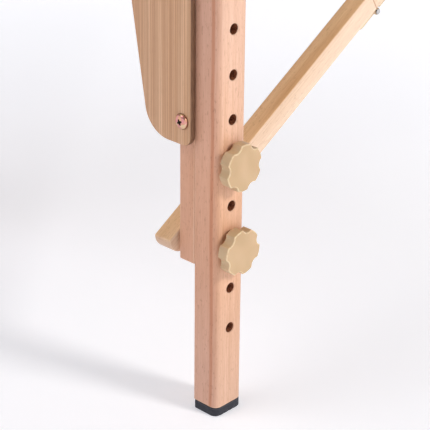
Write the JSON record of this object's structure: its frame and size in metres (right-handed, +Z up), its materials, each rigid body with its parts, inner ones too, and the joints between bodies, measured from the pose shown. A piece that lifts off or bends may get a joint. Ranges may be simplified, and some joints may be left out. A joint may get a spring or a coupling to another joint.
{
  "type": "folding table leg frame",
  "caption": "Folding end leg frame of a portable wooden table: drilled extension legs clamped by star knobs, arched end panel, folding diagonal struts.",
  "frame": {"origin": "centre of the mounting rail's top face, which is screwed up under the table", "axes": "+Z up, +X towards the middle of the table, legs at -Y (front) and +Y (rear)"},
  "size_m": [0.7801, 0.63, 0.632],
  "materials": {
    "beech_leg": "clear satin lacquer on steamed beech, grain along the leg",
    "beech_rail": "clear satin lacquer on beech, warmer and browner than the legs",
    "panel_veneer": "straight striped veneer, satin lacquer",
    "knob_plastic": "beige moulded plastic, semi-matt",
    "foot_rubber": "dark blue-grey rubber",
    "zinc_plate": "yellow-passivated zinc plate",
    "bare_steel": "plain turned steel"
  },
  "bodies": {
    "mounting": {"mounting_rail": "beech_rail", "front_hinge_fixed_leaf": "zinc_plate", "front_hinge_pin": "bare_steel", "front_fixed_leaf_screw_1": "zinc_plate", "front_fixed_leaf_screw_2": "zinc_plate", "rear_hinge_fixed_leaf": "zinc_plate", "rear_hinge_pin": "bare_steel", "rear_fixed_leaf_screw_1": "zinc_plate", "rear_fixed_leaf_screw_2": "zinc_plate"},
    "leg_frame": {"hinge_rail": "beech_rail", "end_panel": "panel_veneer", "front_hinge_moving_leaf": "zinc_plate", "front_moving_leaf_screw_1": "zinc_plate", "front_moving_leaf_screw_2": "zinc_plate", "front_upper_leg": "beech_leg", "front_rail_screw_1": "zinc_plate", "front_rail_screw_2": "zinc_plate", "front_panel_screw_1": "zinc_plate", "front_panel_screw_2": "zinc_plate", "front_clamp_bolt": "zinc_plate", "front_pivot_bolt": "zinc_plate", "front_pivot_nut": "zinc_plate", "rear_hinge_moving_leaf": "zinc_plate", "rear_moving_leaf_screw_1": "zinc_plate", "rear_moving_leaf_screw_2": "zinc_plate", "rear_upper_leg": "beech_leg", "rear_rail_screw_1": "zinc_plate", "rear_rail_screw_2": "zinc_plate", "rear_panel_screw_1": "zinc_plate", "rear_panel_screw_2": "zinc_plate", "rear_clamp_bolt": "zinc_plate", "rear_pivot_bolt": "zinc_plate", "rear_pivot_nut": "zinc_plate"},
    "front_extension": {"front_extension_leg": "beech_leg", "front_rubber_foot": "foot_rubber"},
    "front_upper_washer": {"front_upper_washer": "zinc_plate"},
    "front_upper_knob": {"front_upper_knob": "knob_plastic"},
    "front_lower_washer": {"front_lower_washer": "zinc_plate"},
    "front_lower_knob": {"front_lower_knob": "knob_plastic"},
    "front_lower_arm": {"front_lower_strut": "beech_rail", "front_elbow_lower_leaf": "zinc_plate", "front_elbow_pin": "bare_steel"},
    "front_upper_arm": {"front_upper_strut": "beech_rail", "front_elbow_upper_leaf": "zinc_plate"},
    "front_bracket": {"front_strut_bracket": "zinc_plate", "front_bracket_rivet": "bare_steel"},
    "rear_extension": {"rear_extension_leg": "beech_leg", "rear_rubber_foot": "foot_rubber"},
    "rear_upper_washer": {"rear_upper_washer": "zinc_plate"},
    "rear_upper_knob": {"rear_upper_knob": "knob_plastic"},
    "rear_lower_washer": {"rear_lower_washer": "zinc_plate"},
    "rear_lower_knob": {"rear_lower_knob": "knob_plastic"},
    "rear_lower_arm": {"rear_lower_strut": "beech_rail", "rear_elbow_lower_leaf": "zinc_plate", "rear_elbow_pin": "bare_steel"},
    "rear_upper_arm": {"rear_upper_strut": "beech_rail", "rear_elbow_upper_leaf": "zinc_plate"},
    "rear_bracket": {"rear_strut_bracket": "zinc_plate", "rear_bracket_rivet": "bare_steel"}
  },
  "joints": [
    {"name": "leg_fold", "type": "hinge", "parent": "mounting", "child": "leg_frame", "pos_m": [0.0288, 0, -0.02215], "axis": [0, -1, 0], "range_deg": [0, 90]},
    {"name": "front_extension_slide", "type": "slide", "parent": "leg_frame", "child": "front_extension", "axis": [0, 0, 1], "range_m": [-0.16, 0.08]},
    {"name": "front_upper_knob_travel", "type": "slide", "parent": "leg_frame", "child": "front_upper_washer", "axis": [0, -1, 0], "range_m": [0, 0.00375]},
    {"name": "front_upper_knob_turn", "type": "hinge", "parent": "front_upper_washer", "child": "front_upper_knob", "pos_m": [0.0075, -0.3, -0.384], "axis": [0, -1, 0], "range_deg": [0, 1080]},
    {"name": "front_lower_knob_travel", "type": "slide", "parent": "leg_frame", "child": "front_lower_washer", "axis": [0, -1, 0], "range_m": [0, 0.00375]},
    {"name": "front_lower_knob_turn", "type": "hinge", "parent": "front_lower_washer", "child": "front_lower_knob", "pos_m": [0.0075, -0.3, -0.464], "axis": [0, -1, 0], "range_deg": [0, 1080]},
    {"name": "front_strut_pivot", "type": "hinge", "parent": "leg_frame", "child": "front_lower_arm", "pos_m": [0.0075, -0.23925, -0.464], "axis": [0, -1, 0], "range_deg": [0, 58]},
    {"name": "front_elbow", "type": "hinge", "parent": "front_lower_arm", "child": "front_upper_arm", "pos_m": [0.26627, -0.23925, -0.31946], "axis": [0, 1, 0], "range_deg": [0, 180]},
    {"name": "front_bracket_pivot", "type": "hinge", "parent": "front_upper_arm", "child": "front_bracket", "pos_m": [0.72709, -0.23925, -0.01435], "axis": [0, -1, 0], "range_deg": [0, 32]},
    {"name": "rear_extension_slide", "type": "slide", "parent": "leg_frame", "child": "rear_extension", "axis": [0, 0, 1], "range_m": [-0.16, 0.08]},
    {"name": "rear_upper_knob_travel", "type": "slide", "parent": "leg_frame", "child": "rear_upper_washer", "axis": [0, 1, 0], "range_m": [0, 0.00375]},
    {"name": "rear_upper_knob_turn", "type": "hinge", "parent": "rear_upper_washer", "child": "rear_upper_knob", "pos_m": [0.0075, 0.3, -0.384], "axis": [0, 1, 0], "range_deg": [0, 1080]},
    {"name": "rear_lower_knob_travel", "type": "slide", "parent": "leg_frame", "child": "rear_lower_washer", "axis": [0, 1, 0], "range_m": [0, 0.00375]},
    {"name": "rear_lower_knob_turn", "type": "hinge", "parent": "rear_lower_washer", "child": "rear_lower_knob", "pos_m": [0.0075, 0.3, -0.464], "axis": [0, 1, 0], "range_deg": [0, 1080]},
    {"name": "rear_strut_pivot", "type": "hinge", "parent": "leg_frame", "child": "rear_lower_arm", "pos_m": [0.0075, 0.23925, -0.464], "axis": [0, -1, 0], "range_deg": [0, 58]},
    {"name": "rear_elbow", "type": "hinge", "parent": "rear_lower_arm", "child": "rear_upper_arm", "pos_m": [0.26627, 0.23925, -0.31946], "axis": [0, 1, 0], "range_deg": [0, 180]},
    {"name": "rear_bracket_pivot", "type": "hinge", "parent": "rear_upper_arm", "child": "rear_bracket", "pos_m": [0.72709, 0.23925, -0.01435], "axis": [0, -1, 0], "range_deg": [0, 32]}
  ],
  "couplings": [
    {"joint": "front_upper_knob_travel", "follows": "front_upper_knob_turn", "m_per_rad": 0.00019894},
    {"joint": "front_lower_knob_travel", "follows": "front_lower_knob_turn", "m_per_rad": 0.00019894},
    {"joint": "front_strut_pivot", "follows": "leg_fold", "ratio": 0.64444},
    {"joint": "front_elbow", "follows": "leg_fold", "ratio": 2},
    {"joint": "front_bracket_pivot", "follows": "leg_fold", "ratio": 0.35556},
    {"joint": "rear_upper_knob_travel", "follows": "rear_upper_knob_turn", "m_per_rad": 0.00019894},
    {"joint": "rear_lower_knob_travel", "follows": "rear_lower_knob_turn", "m_per_rad": 0.00019894},
    {"joint": "rear_strut_pivot", "follows": "leg_fold", "ratio": 0.64444},
    {"joint": "rear_elbow", "follows": "leg_fold", "ratio": 2},
    {"joint": "rear_bracket_pivot", "follows": "leg_fold", "ratio": 0.35556}
  ]
}
